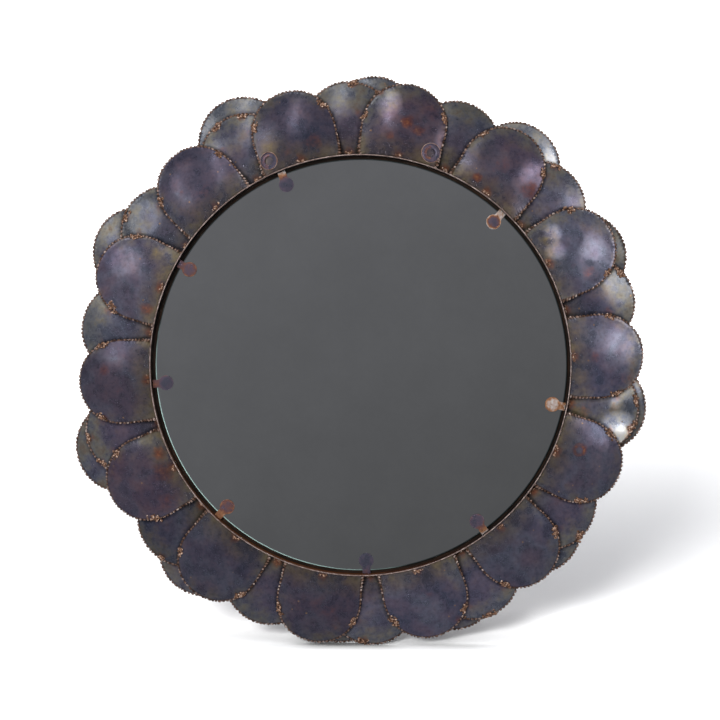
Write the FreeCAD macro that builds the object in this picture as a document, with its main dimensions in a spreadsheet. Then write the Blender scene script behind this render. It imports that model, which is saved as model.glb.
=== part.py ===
import FreeCAD, Part
import math
import os
import Sketcher

# Round wall mirror framed by three layers of domed steel petals.
# Millimetres, +Z up, the glass faces -Y. The origin is the hoop's centre on the wall plane.
# Every piece is drawn in hoop coordinates: x to the right, y up, z forward from the wall.

sizes = {
    # hoop
    "band_radius": 298.0,        # outside of the hoop
    "band_wall": 1.5,
    "band_depth": 58.0,          # from the wall to the hoop's front edge
    # glass, its board and the ledge behind them
    "glass_recess": 14.0,        # hoop's front edge to the face of the glass
    "glass_thickness": 4.0,
    "glass_edge_gap": 5.0,       # dark gap between the glass and the hoop
    "glass_shift": 1.0,          # the glass sits a little to the right
    "glass_seam": 0.6,           # ground edge
    "board_thickness": 3.0,
    "ledge_width": 12.0,
    "ledge_thickness": 3.0,
    # tabs over the glass
    "tab_sheet": 1.2,
    "tab_neck": 11.0,
    "tab_head": 10.5,            # radius of the round end
    "tab_reach": 19.5,           # hoop's inner wall to the centre of the round end
    "tab_bend": 2.0,             # outside radius of the bend
    "tab_wall_gap": 0.1,
    "tab_glass_gap": 0.1,
    # petals: one dish shape in three layers
    "petal_radius": 65.0,
    "petal_rise": 12.0,
    "petal_sheet": 1.2,
    "petal_weld_gap": 0.1,       # petal's cut edge to the hoop
    "back_height": 7.5,          # back petals' rim plane over the wall, at the petal's centre
    "mid_gap": 3.3,              # back petals' crowns to the mid petals' rim plane
    "front_gap": 0.6,            # mid petals' crowns to the front petals' rim plane
    # how much of a petal's diameter stands beyond the outside of the hoop
    "front_overhang_share": 0.8,
    "mid_overhang_share": 0.8,
    "back_overhang_share": 0.896,
    # brazed tacks
    "tack_radius": 4.5,
    "tack_height": 8.0,          # across the sheet's edge
    "rim_tack_radius": 3.0,
    "rim_tack_height": 5.0,
    "tack_gap": 0.05,            # filler to the sheet it lies on
    # two cup washers brazed to front petals beside the hoop
    "washer_radius_right": 14.0,
    "washer_radius_left": 12.8,
    "washer_hole": 6.0,          # radius
    "washer_sheet": 1.2,
    "washer_lip": 1.4,           # width of the raised edge
    "washer_depth": 1.4,         # inside the raised edge
    "washer_gap": 0.1,
    "washer_clearance_right": 3.7,    # washer to the outside of the hoop
    "washer_clearance_left": 5.0,
    # flat bars across the back
    "bar_width": 25.0,
    "bar_thickness": 3.0,
    "bar_offset": 140.0,         # centre of each bar above and below the middle
    "bar_height": 9.0,           # rear face of the bars over the wall
    # hangers
    "hanger_offset": 170.0,      # each side of the middle
    "strap_width": 16.0,
    "strap_sheet": 1.5,
    "strap_length": 30.0,        # loop's axis to the lower end
    "strap_rise": 4.5,           # loop's axis above the bar's top edge
    "loop_gap": 0.08,            # wire to the loop round it
    "ring_wire": 4.5,            # diameter
    "ring_inner_width": 28.0,
    "ring_corner": 5.0,          # bend radius at the wire's centre line
    "ring_side": 22.0,           # straight side between the bends
    # rivets through strap and bar
    "rivet_shank": 4.0,          # diameter
    "rivet_hole_gap": 0.1,       # round the shank
    "rivet_head": 4.0,           # radius of the domed head
    "rivet_dome": 1.8,
    "rivet_tail": 3.4,           # radius of the flat tail
    "rivet_tail_height": 1.2,
    "rivet_pitch": 12.0,
    "rivet_edge": 6.5,           # lower rivet above the bar's lower edge
}

# angles in degrees, anticlockwise from the right as seen from the front
front_tilt = 14.0
mid_tilt = 8.0
back_tilt = 4.0
front_angles = [79.6, 53.9, 28.3, 2.3, 336.5, 311.0, 285.8,
                260.0, 234.2, 208.2, 184.0, 158.5, 132.4, 106.0]
mid_angles = [66.6, 41.3, 15.2, 349.4, 323.8, 298.3, 272.7,
              247.2, 221.3, 196.1, 171.3, 145.6, 119.2, 92.8]
back_angles = [87.0, 52.0, 26.0, 350.0, 317.0, 292.5, 265.0, 230.0, 199.0, 153.5, 117.8]
glass_tab_angles = [47.1, 112.2, 150.7, 185.2, 226.8, 271.8, 306.9, 348.6]

# each petal's own overhang, as a share of its layer's
front_shares = [1.015, 0.997, 1.011, 0.992, 0.978, 0.985, 1.003,
                0.996, 1.013, 1.02, 1.006, 0.985, 0.971, 1.003]
mid_shares = [0.996, 1.013, 0.993, 0.988, 0.983, 1.027, 0.989,
              0.974, 1.011, 1.045, 1.01, 0.989, 0.977, 1.009]
back_shares = [0.973, 1.05, 0.994, 0.979, 0.945, 0.936, 0.883, 1.014, 1.128, 1.067, 1.073]
tab_reach_shares = [1.0, 1.04, 0.97, 1.0, 1.03, 0.98, 1.04, 0.97]

# tacks on each front petal's rim, turned to both sides from the petal's outer end
front_tack_turns = [
    (82, -66), (64, -56), (67, -60), (74, -68), (65, -64), (67, -56), (58, -65),
    (67, -67), (65, -64), (70, -64), (57, -66), (68, -65), (66, -69), (66, -60),
]
# tacks of each back petal, turned from the outer end of the mid petal nearest to it
back_tack_turns = [
    (-46.9, -6.6), (28.6, 82.2), (28.9, 82.3), (-16.1, 21.4), (-52.0, -10.9), (-47.1, -6.6),
    (-57.4, -14.9), (19.4, 64.5), (-6.1, 32.5), (15.7, 58.7), (-25.0, 12.5),
]

# cup washers: front petal, and distance from its centre line as a share of its radius
washer_places = [("right", 0, -0.671), ("left", 13, 0.672)]

doc = FreeCAD.newDocument("petal_mirror")
sheet = doc.addObject("Spreadsheet::Sheet", "sizes")
for row, (alias, number) in enumerate(sizes.items(), start=1):
    sheet.set("A%d" % row, alias)
    sheet.set("B%d" % row, str(number))
    sheet.setAlias("B%d" % row, alias)
doc.recompute()


def size(alias):
    return float(sheet.get(alias))


# heights and radii that several pieces share
band_inner = size("band_radius") - size("band_wall")
board_back = size("band_depth") - size("glass_recess") - size("glass_thickness") - size("board_thickness")
glass_back = board_back + size("board_thickness")
glass_face = glass_back + size("glass_thickness")
inner_text = "sizes.band_radius - sizes.band_wall"
mid_height = size("back_height") + size("petal_rise") + size("petal_sheet") + size("mid_gap")
front_height = mid_height + size("petal_rise") + size("petal_sheet") + size("front_gap")
# radius of the sphere inside a petal's dome
dome_radius = (size("petal_radius") ** 2 + size("petal_rise") ** 2) / (2 * size("petal_rise"))

upright = FreeCAD.Placement(FreeCAD.Vector(), FreeCAD.Rotation(FreeCAD.Vector(1, 0, 0), 90))
parts = []


def finish(piece, label, placement=None):
    """Names a sub-part and sets its place in the mirror's frame."""
    piece.Label = label
    if placement is not None:
        piece.Placement = placement
    parts.append(piece)
    return piece


def at(x, y, z):
    """Place in hoop coordinates, unturned."""
    return upright * FreeCAD.Placement(FreeCAD.Vector(x, y, z), FreeCAD.Rotation())


def turned(angle):
    return FreeCAD.Rotation(FreeCAD.Vector(0, 0, 1), angle)


def at_angle(angle, x, z, tilt=0.0):
    """Place at a distance x along a ray of the hoop, z forward of the wall, leaning outwards by tilt."""
    lean = FreeCAD.Rotation(FreeCAD.Vector(0, 1, 0), tilt)
    ray = FreeCAD.Placement(FreeCAD.Vector(), turned(angle))
    return upright * ray * FreeCAD.Placement(FreeCAD.Vector(x, 0, z), lean)


def sketch_in(body, name, role):
    """A sketch on one of the body's own origin planes."""
    plane = [item for item in body.Origin.OriginFeatures if item.Role == role][0]
    sketch = body.newObject("Sketcher::SketchObject", name)
    sketch.AttachmentSupport = [(plane, "")]
    sketch.MapMode = "FlatFace"
    return sketch


def line(sketch, start, end):
    return sketch.addGeometry(Part.LineSegment(FreeCAD.Vector(*start, 0), FreeCAD.Vector(*end, 0)))


def arc(sketch, centre, radius, start, end):
    """Anticlockwise arc between two angles in degrees."""
    circle = Part.Circle(FreeCAD.Vector(*centre, 0), FreeCAD.Vector(0, 0, 1), radius)
    return sketch.addGeometry(Part.ArcOfCircle(circle, math.radians(start), math.radians(end)))


def rule(sketch, *items):
    return sketch.addConstraint(Sketcher.Constraint(*items))


def driven(sketch, text, *items):
    """A dimension that follows the sheet."""
    index = rule(sketch, *items)
    sketch.setExpression("Constraints[%d]" % index, text)


def circle_at(sketch, centre, radius, text):
    """A circle that may sit on the sketch's origin, its radius bound to the sheet."""
    index = sketch.addGeometry(Part.Circle(FreeCAD.Vector(*centre, 0), FreeCAD.Vector(0, 0, 1), radius))
    if centre == (0, 0):
        rule(sketch, "Coincident", index, 3, -1, 1)
    driven(sketch, text, "Radius", index, radius)
    return index


def pad(body, sketch, text, reverse=False, both_sides=False):
    feature = body.newObject("PartDesign::Pad", sketch.Name + "_pad")
    feature.Profile = sketch
    feature.setExpression("Length", text)
    feature.Reversed = reverse
    if both_sides:
        feature.SideType = "Symmetric"
    return feature


def spin_round(body, section):
    """Turns a section round its own vertical axis."""
    feature = body.newObject("PartDesign::Revolution", section.Name + "_turned")
    feature.Profile = section
    feature.ReferenceAxis = (section, ["V_Axis"])
    feature.Angle = 360


def round_plate(label, radius, radius_text, depth_text, base, hole=0.0, hole_text="", shift=0.0):
    """A disc or flat ring round the hoop's axis, with its rear face at height base."""
    body = doc.addObject("PartDesign::Body", label)
    outline = sketch_in(body, label + "_outline", "XY_Plane")
    circle_at(outline, (0, 0), radius, radius_text)
    if hole:
        circle_at(outline, (0, 0), hole, hole_text)
    pad(body, outline, depth_text)
    return finish(body, label, at(shift, 0, base))


# hoop, ledge, board and glass
round_plate("rim_band", size("band_radius"), "sizes.band_radius", "sizes.band_depth", 0.0,
            band_inner, inner_text)
round_plate("glass_ledge", band_inner, inner_text, "sizes.ledge_thickness",
            board_back - size("ledge_thickness"),
            band_inner - size("ledge_width"), inner_text + " - sizes.ledge_width")

pane_radius = band_inner - size("glass_edge_gap")
pane_text = inner_text + " - sizes.glass_edge_gap"
round_plate("backing_board", pane_radius, pane_text, "sizes.board_thickness", board_back,
            shift=size("glass_shift"))
glass = round_plate("mirror_glass", pane_radius, pane_text, "sizes.glass_thickness", glass_back,
                    shift=size("glass_shift"))
doc.recompute()
pane = glass.Tip
rims = ["Edge%d" % number for number, edge in enumerate(pane.Shape.Edges, start=1) if edge.isClosed()]
seam = glass.newObject("PartDesign::Chamfer", "ground_edge")
seam.Base = (pane, rims)
seam.setExpression("Size", "sizes.glass_seam")


def tab(label, share, placement):
    """Strip bent square: its round end points to -x and its leg to -z from the bend's outer corner."""
    wall = size("tab_sheet")
    bend = size("tab_bend")
    reach = size("tab_reach") * share
    reach_text = "sizes.tab_reach * %g" % share
    leg = glass_face - board_back + size("tab_glass_gap") + wall
    leg_text = "sizes.glass_thickness + sizes.board_thickness + sizes.tab_glass_gap + sizes.tab_sheet"
    body = doc.addObject("PartDesign::Body", label)
    side = sketch_in(body, label + "_side", "XZ_Plane")
    top = line(side, (-reach, 0), (-bend, 0))
    outer = arc(side, (-bend, -bend), bend, 0, 90)
    back = line(side, (0, -bend), (0, -leg))
    foot = line(side, (0, -leg), (-wall, -leg))
    face = line(side, (-wall, -leg), (-wall, -bend))
    inner = arc(side, (-bend, -bend), bend - wall, 0, 90)
    under = line(side, (-bend, -wall), (-reach, -wall))
    tip = line(side, (-reach, -wall), (-reach, 0))
    rule(side, "Tangent", top, 2, outer, 2)
    rule(side, "Tangent", outer, 1, back, 1)
    rule(side, "Coincident", back, 2, foot, 1)
    rule(side, "Coincident", foot, 2, face, 1)
    rule(side, "Tangent", face, 2, inner, 1)
    rule(side, "Tangent", inner, 2, under, 1)
    rule(side, "Coincident", under, 2, tip, 1)
    rule(side, "Coincident", tip, 2, top, 1)
    rule(side, "Coincident", outer, 3, inner, 3)
    rule(side, "PointOnObject", top, 1, -1)
    rule(side, "PointOnObject", back, 1, -2)
    rule(side, "Horizontal", top)
    rule(side, "Horizontal", foot)
    rule(side, "Vertical", tip)
    driven(side, "sizes.tab_bend", "Radius", outer, bend)
    driven(side, "sizes.tab_sheet", "DistanceX", foot, 2, foot, 1, wall)
    driven(side, reach_text, "DistanceX", top, 1, -1, 1, reach)
    driven(side, leg_text, "DistanceY", foot, 1, -1, 1, leg)
    pad(body, side, "sizes.tab_neck", both_sides=True)
    head = sketch_in(body, label + "_head", "XY_Plane")
    disc = circle_at(head, (-reach, 0), size("tab_head"), "sizes.tab_head")
    rule(head, "PointOnObject", disc, 3, -1)
    driven(head, reach_text, "DistanceX", disc, 3, -1, 1, reach)
    pad(body, head, "sizes.tab_sheet", reverse=True)
    return finish(body, label, placement)


tab_top = glass_face + size("tab_glass_gap") + size("tab_sheet")
# the flat leg touches the round wall with its two edges
tab_wall = math.sqrt(band_inner ** 2 - (size("tab_neck") / 2) ** 2) - size("tab_wall_gap")
for number, (angle, share) in enumerate(zip(glass_tab_angles, tab_reach_shares), start=1):
    tab("glass_tab_%d" % number, share, at_angle(angle, tab_wall, tab_top))


# petals
weld_face = doc.addObject("Part::Cylinder", "weld_face")
weld_face.setExpression("Radius", "sizes.band_radius + sizes.petal_weld_gap")
weld_face.setExpression("Height", "sizes.band_depth + 2 * sizes.petal_radius")
weld_face.Placement = at(0, 0, -size("petal_radius"))


def dish(label):
    """Domed disc of sheet steel, its rim plane at z = 0 and its dome towards +z."""
    radius = size("petal_radius")
    rise = size("petal_rise")
    wall = size("petal_sheet")
    centre = (0, rise - dome_radius)
    start = math.degrees(math.acos(radius / dome_radius))
    grown = (dome_radius + wall) / dome_radius
    body = doc.addObject("PartDesign::Body", label + "_dish")
    section = sketch_in(body, label + "_section", "XZ_Plane")
    crown = line(section, (0, rise), (0, rise + wall))
    outside = arc(section, centre, dome_radius + wall, start, 90)
    rim = line(section, (radius, 0), (radius * grown, centre[1] - centre[1] * grown))
    inside = arc(section, centre, dome_radius, start, 90)
    rule(section, "Coincident", crown, 2, outside, 2)
    rule(section, "Coincident", outside, 1, rim, 2)
    rule(section, "Coincident", rim, 1, inside, 1)
    rule(section, "Coincident", inside, 2, crown, 1)
    rule(section, "Coincident", inside, 3, outside, 3)
    rule(section, "PointOnObject", crown, 1, -2)
    rule(section, "PointOnObject", crown, 2, -2)
    rule(section, "PointOnObject", inside, 3, -2)
    rule(section, "PointOnObject", inside, 3, rim)
    rule(section, "PointOnObject", rim, 1, -1)
    driven(section, "sizes.petal_radius", "DistanceX", -1, 1, rim, 1, radius)
    driven(section, "sizes.petal_rise", "DistanceY", -1, 1, crown, 1, rise)
    driven(section, "sizes.petal_sheet", "DistanceY", crown, 1, crown, 2, wall)
    spin_round(body, section)
    return body


def layer(name, angles, shares, tilt, height):
    """One ring of petals, each a dish trimmed where it meets the hoop. Gives their places."""
    places = []
    for number, (angle, share) in enumerate(zip(angles, shares), start=1):
        label = "%s_petal_%02d" % (name, number)
        overhang = 2 * size("petal_radius") * size(name + "_overhang_share") * share
        reach = size("band_radius") + overhang
        centre = reach - size("petal_radius") * math.cos(math.radians(tilt))
        body = dish(label)
        body.Placement = at_angle(angle, centre, height, tilt)
        petal = doc.addObject("Part::Cut", label)
        petal.Base = body
        petal.Tool = weld_face
        finish(petal, label)
        places.append({"angle": angle, "centre": centre, "place": body.Placement})
    return places


front = layer("front", front_angles, front_shares, front_tilt, front_height)
mid = layer("mid", mid_angles, mid_shares, mid_tilt, mid_height)
back = layer("back", back_angles, back_shares, back_tilt, size("back_height"))
doc.recompute()


# brazed tacks: stubs of filler round the petals' rims, shaped by the sheets that they lie on
def dish_mould(place):
    """The space of a petal's sheet with the filler's gap all round."""
    gap = size("tack_gap")
    inner = dome_radius - gap
    outer = dome_radius + size("petal_sheet") + gap
    low = math.acos(size("petal_radius") / dome_radius) - gap / dome_radius
    middle = (low + math.pi / 2) / 2

    def spot(radius, angle):
        height = size("petal_rise") - dome_radius + radius * math.sin(angle)
        return FreeCAD.Vector(radius * math.cos(angle), 0, height)

    outside = Part.Arc(spot(outer, math.pi / 2), spot(outer, middle), spot(outer, low)).toShape()
    inside = Part.Arc(spot(inner, low), spot(inner, middle), spot(inner, math.pi / 2)).toShape()
    rim = Part.makeLine(spot(outer, low), spot(inner, low))
    crown = Part.makeLine(spot(inner, math.pi / 2), spot(outer, math.pi / 2))
    mould = Part.Face(Part.Wire([outside, rim, inside, crown])).revolve(
        FreeCAD.Vector(), FreeCAD.Vector(0, 0, 1), 360)
    mould.Placement = place
    return mould


petals = front + mid + back
for petal in petals:
    petal["mould"] = dish_mould(petal["place"])


def stub(petal, spot, radius, height, moulds):
    """A round stub square to the petal, less the sheets it meets: its largest solid."""
    axis = petal["place"].Rotation.multVec(FreeCAD.Vector(0, 0, 1))
    point = petal["place"].multVec(spot)
    left = Part.makeCylinder(radius, height, point - axis * height / 2, axis).cut(moulds)
    return max(left.Solids, key=lambda solid: solid.Volume)


def edge_tack(petal, turn):
    """Tack on a petal's rim, turned from its outer end, shaped by every petal it reaches."""
    spot = turned(turn).multVec(FreeCAD.Vector(size("petal_radius"), 0, size("petal_sheet") / 2))
    point = petal["place"].multVec(spot)
    reach = size("petal_radius") + size("petal_rise") + size("tack_radius")
    moulds = [other["mould"] for other in petals if (other["place"].Base - point).Length < reach]
    return stub(petal, spot, size("tack_radius"), size("tack_height"), moulds)


tacks = [edge_tack(petal, turn) for petal, turns in zip(front, front_tack_turns) for turn in turns]
for petal, turns in zip(back, back_tack_turns):
    nearest = min(mid, key=lambda other: abs((other["angle"] - petal["angle"] + 180) % 360 - 180))
    tacks += [edge_tack(nearest, turn) for turn in turns]
petal_tacks = doc.addObject("Part::Feature", "petal_tacks")
petal_tacks.Shape = Part.makeCompound(tacks)
finish(petal_tacks, "petal_tacks")

# tacks in the corner between each petal's outer face and the hoop, on the petal's centre line
hoop_tacks = []
outer_dome = dome_radius + size("petal_sheet")
for petal in petals:
    inward = size("band_radius") - petal["centre"]
    up = math.sqrt(outer_dome ** 2 - inward ** 2) - dome_radius + size("petal_rise")
    hoop_tacks.append(stub(petal, FreeCAD.Vector(inward, 0, up), size("rim_tack_radius"),
                           size("rim_tack_height"), [petal["mould"], weld_face.Shape]))
rim_tacks = doc.addObject("Part::Feature", "rim_tacks")
rim_tacks.Shape = Part.makeCompound(hoop_tacks)
finish(rim_tacks, "rim_tacks")


def cup_washer(word, petal, across_share):
    """Holed disc with a raised edge, lying on the outer face of a front petal."""
    radius_alias = "washer_radius_" + word
    radius_text = "sizes." + radius_alias
    label = "cup_washer_" + word
    body = doc.addObject("PartDesign::Body", label)
    base = sketch_in(body, label + "_base", "XY_Plane")
    circle_at(base, (0, 0), size(radius_alias), radius_text)
    circle_at(base, (0, 0), size("washer_hole"), "sizes.washer_hole")
    pad(body, base, "sizes.washer_sheet")
    lip = sketch_in(body, label + "_lip", "XY_Plane")
    circle_at(lip, (0, 0), size(radius_alias), radius_text)
    circle_at(lip, (0, 0), size(radius_alias) - size("washer_lip"), radius_text + " - sizes.washer_lip")
    pad(body, lip, "sizes.washer_sheet + sizes.washer_depth")
    # x along the petal's ray, y across it, and the middle of the dome's sphere seen from there
    ray = upright * FreeCAD.Placement(FreeCAD.Vector(), turned(petal["angle"]))
    sphere = ray.inverse().multVec(petal["place"].multVec(FreeCAD.Vector(0, 0, size("petal_rise") - dome_radius)))
    from_axis = size("band_radius") + size(radius_alias) + size("washer_clearance_" + word)
    across = size("petal_radius") * across_share
    along = math.sqrt(from_axis ** 2 - across ** 2) - sphere.x
    normal = FreeCAD.Vector(along, across, math.sqrt(outer_dome ** 2 - along ** 2 - across ** 2))
    normal.normalize()
    seat = sphere + normal * (outer_dome + size("washer_gap"))
    upwards = FreeCAD.Rotation(FreeCAD.Vector(0, 0, 1), normal)
    finish(body, label, ray * FreeCAD.Placement(seat, upwards))


for word, number, across_share in washer_places:
    cup_washer(word, front[number], across_share)


# hangers: strap riveted to the upper bar, its loop above the bar's top edge
wire_radius = size("ring_wire") / 2
loop_inner = wire_radius + size("loop_gap")
loop_text = "sizes.ring_wire / 2 + sizes.loop_gap"
bar_top = size("bar_offset") + size("bar_width") / 2
loop_up = bar_top + size("strap_rise")
loop_forward = size("bar_height") - loop_inner - size("strap_sheet")
rivet_ups = [size("bar_offset") - size("bar_width") / 2 + size("rivet_edge") + step * size("rivet_pitch")
             for step in (0, 1)]


def rivet_body(name):
    """Rivet along z: domed head behind the strap at z < 0, flat tail in front of the bar."""
    grip = size("strap_sheet") + size("bar_thickness")
    shank = size("rivet_shank") / 2
    head = size("rivet_head")
    dome = size("rivet_dome")
    tail = size("rivet_tail")
    end = grip + size("rivet_tail_height")
    ball = (head ** 2 + dome ** 2) / (2 * dome)
    body = doc.addObject("PartDesign::Body", name)
    section = sketch_in(body, name + "_section", "XZ_Plane")
    axis = line(section, (0, -dome), (0, end))
    tail_top = line(section, (0, end), (tail, end))
    tail_side = line(section, (tail, end), (tail, grip))
    tail_under = line(section, (tail, grip), (shank, grip))
    stem = line(section, (shank, grip), (shank, 0))
    head_under = line(section, (shank, 0), (head, 0))
    edge = math.degrees(math.atan2(dome - ball, head))
    cap = arc(section, (0, ball - dome), ball, -90, edge)
    chain = [axis, tail_top, tail_side, tail_under, stem, head_under]
    for first, second in zip(chain, chain[1:]):
        rule(section, "Coincident", first, 2, second, 1)
    rule(section, "Coincident", head_under, 2, cap, 2)
    rule(section, "Coincident", cap, 1, axis, 1)
    rule(section, "PointOnObject", cap, 3, -2)
    rule(section, "PointOnObject", axis, 1, -2)
    rule(section, "Vertical", axis)
    rule(section, "Horizontal", tail_top)
    rule(section, "Vertical", tail_side)
    rule(section, "Horizontal", tail_under)
    rule(section, "Vertical", stem)
    rule(section, "PointOnObject", head_under, 1, -1)
    rule(section, "PointOnObject", head_under, 2, -1)
    driven(section, "sizes.rivet_shank / 2", "DistanceX", -1, 1, stem, 2, shank)
    driven(section, "sizes.rivet_head", "DistanceX", -1, 1, head_under, 2, head)
    driven(section, "sizes.rivet_tail", "DistanceX", -1, 1, tail_side, 1, tail)
    driven(section, "sizes.rivet_dome", "DistanceY", axis, 1, -1, 1, dome)
    driven(section, "sizes.strap_sheet + sizes.bar_thickness", "DistanceY", -1, 1, tail_side, 2, grip)
    driven(section, "sizes.rivet_tail_height", "DistanceY", tail_side, 2, tail_side, 1, end - grip)
    spin_round(body, section)
    return body


def strap_body(name):
    """Strap along -y with its loop round the x axis, rear face of the sheet at z = loop_inner."""
    body = doc.addObject("PartDesign::Body", name)
    side = sketch_in(body, name + "_side", "YZ_Plane")
    low = -size("strap_length")
    far = loop_inner + size("strap_sheet")
    lower = line(side, (low, loop_inner), (low, far))
    front_face = line(side, (low, far), (0, far))
    upper = line(side, (0, far), (0, loop_inner))
    rear_face = line(side, (0, loop_inner), (low, loop_inner))
    chain = [lower, front_face, upper, rear_face, lower]
    for first, second in zip(chain, chain[1:]):
        rule(side, "Coincident", first, 2, second, 1)
    rule(side, "Vertical", lower)
    rule(side, "Horizontal", front_face)
    rule(side, "Horizontal", rear_face)
    rule(side, "PointOnObject", upper, 1, -2)
    rule(side, "PointOnObject", upper, 2, -2)
    driven(side, "sizes.strap_length", "DistanceX", lower, 1, -1, 1, size("strap_length"))
    driven(side, loop_text, "DistanceY", -1, 1, upper, 2, loop_inner)
    driven(side, "sizes.strap_sheet", "DistanceY", upper, 2, upper, 1, size("strap_sheet"))
    pad(body, side, "sizes.strap_width", both_sides=True)
    loop = sketch_in(body, name + "_loop", "YZ_Plane")
    circle_at(loop, (0, 0), far, loop_text + " + sizes.strap_sheet")
    circle_at(loop, (0, 0), loop_inner, loop_text)
    pad(body, loop, "sizes.strap_width", both_sides=True)
    holes = sketch_in(body, name + "_holes", "XY_Plane")
    radius_text = "sizes.rivet_shank / 2 + sizes.rivet_hole_gap"
    for up in rivet_ups:
        hole = circle_at(holes, (0, up - loop_up), size("rivet_shank") / 2 + size("rivet_hole_gap"),
                         radius_text)
        rule(holes, "PointOnObject", hole, 3, -2)
        rule(holes, "DistanceY", hole, 3, -1, 1, loop_up - up)
    pocket = body.newObject("PartDesign::Pocket", name + "_rivet_holes")
    pocket.Profile = holes
    pocket.Type = "ThroughAll"
    pocket.Reversed = True
    return body


def group(label, members):
    """Loose copies that share one node."""
    bundle = doc.addObject("Part::Compound", label)
    bundle.Links = members
    return finish(bundle, label)


straps = []
rivets = []
drills = []
for side, word in ((-1, "left"), (1, "right")):
    across = side * size("hanger_offset")
    strap = strap_body("strap_" + word)
    strap.Placement = at(across, loop_up, loop_forward)
    straps.append(strap)
    for number, up in enumerate(rivet_ups, start=1):
        rivet = rivet_body("rivet_%s_%d" % (word, number))
        rivet.Placement = at(across, up, size("bar_height") - size("strap_sheet"))
        rivets.append(rivet)
        drill = doc.addObject("Part::Cylinder", "drill_%s_%d" % (word, number))
        drill.setExpression("Radius", "sizes.rivet_shank / 2 + sizes.rivet_hole_gap")
        drill.setExpression("Height", "sizes.strap_sheet + sizes.bar_thickness + sizes.rivet_tail_height")
        drill.Placement = rivet.Placement
        drills.append(drill)
group("hanger_straps", straps)
group("hanger_rivets", rivets)

# bars across the back, ends butted to the hoop and the upper one drilled for the rivets
bars = []
for side, word in ((1, "upper"), (-1, "lower")):
    bar = doc.addObject("Part::Box", "bar_" + word)
    bar.setExpression("Length", "2 * (" + inner_text + ")")
    bar.setExpression("Width", "sizes.bar_width")
    bar.setExpression("Height", "sizes.bar_thickness")
    lower_edge = side * size("bar_offset") - size("bar_width") / 2
    bar.Placement = at(-band_inner, lower_edge, size("bar_height"))
    bars.append(bar)
bar_pair = doc.addObject("Part::Compound", "bar_pair")
bar_pair.Links = bars
bore = doc.addObject("Part::Cylinder", "band_bore")
bore.setExpression("Radius", inner_text)
bore.setExpression("Height", "sizes.band_depth")
bore.Placement = upright
trimmed = doc.addObject("Part::Common", "bars_trimmed")
trimmed.Base = bar_pair
trimmed.Tool = bore
drill_set = doc.addObject("Part::Compound", "drill_set")
drill_set.Links = drills
cross_bars = doc.addObject("Part::Cut", "cross_bars")
cross_bars.Base = trimmed
cross_bars.Tool = drill_set
finish(cross_bars, "cross_bars")


def hanging_ring(label, across):
    """Wire bent to a D, its straight side on the x axis and its bow hanging to -y."""
    half = size("ring_inner_width") / 2 + wire_radius
    corner = size("ring_corner")
    low = corner + size("ring_side")
    half_text = "sizes.ring_inner_width / 2 + sizes.ring_wire / 2"
    body = doc.addObject("PartDesign::Body", label)
    path = sketch_in(body, label + "_path", "XY_Plane")
    start = line(path, (0, 0), (half - corner, 0))
    right_bend = arc(path, (half - corner, -corner), corner, 0, 90)
    right_side = line(path, (half, -corner), (half, -low))
    bow = arc(path, (0, -low), half, 180, 360)
    left_side = line(path, (-half, -low), (-half, -corner))
    left_bend = arc(path, (corner - half, -corner), corner, 90, 180)
    close = line(path, (corner - half, 0), (0, 0))
    rule(path, "Coincident", start, 1, -1, 1)
    rule(path, "Coincident", close, 2, -1, 1)
    rule(path, "Horizontal", start)
    rule(path, "Horizontal", close)
    rule(path, "Tangent", start, 2, right_bend, 2)
    rule(path, "Tangent", right_bend, 1, right_side, 1)
    rule(path, "Tangent", right_side, 2, bow, 2)
    rule(path, "Tangent", bow, 1, left_side, 1)
    rule(path, "Tangent", left_side, 2, left_bend, 2)
    rule(path, "Tangent", left_bend, 1, close, 1)
    rule(path, "Equal", right_bend, left_bend)
    rule(path, "PointOnObject", bow, 3, -2)
    driven(path, "sizes.ring_corner", "Radius", right_bend, corner)
    driven(path, half_text, "Radius", bow, half)
    driven(path, "sizes.ring_corner + sizes.ring_side", "DistanceY", bow, 3, -1, 1, low)
    wire = sketch_in(body, label + "_wire", "YZ_Plane")
    circle_at(wire, (0, 0), wire_radius, "sizes.ring_wire / 2")
    sweep = body.newObject("PartDesign::AdditivePipe", label + "_bent")
    sweep.Profile = wire
    sweep.Spine = path
    return finish(body, label, at(across, loop_up, loop_forward))


hanging_ring("hanging_ring_left", -size("hanger_offset"))
hanging_ring("hanging_ring_right", size("hanger_offset"))

doc.recompute()
for item in doc.Objects:
    if "Invalid" in item.State or "Error" in item.State:
        raise RuntimeError("%s failed: %s" % (item.Label, item.State))
for piece in parts:
    if piece.Shape.isNull() or not piece.Shape.isValid():
        raise RuntimeError(piece.Label + " has no valid shape")

os.makedirs("parts", exist_ok=True)
for piece in parts:
    piece.Shape.exportStep("parts/%s.step" % piece.Label)
    print("%-20s %d solids, %.1f cm3" % (piece.Label, len(piece.Shape.Solids), piece.Shape.Volume / 1000))
print(len(parts), "nodes")
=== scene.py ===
import math
import random

import bmesh
import bpy
from mathutils import Matrix, Vector, noise


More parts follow.
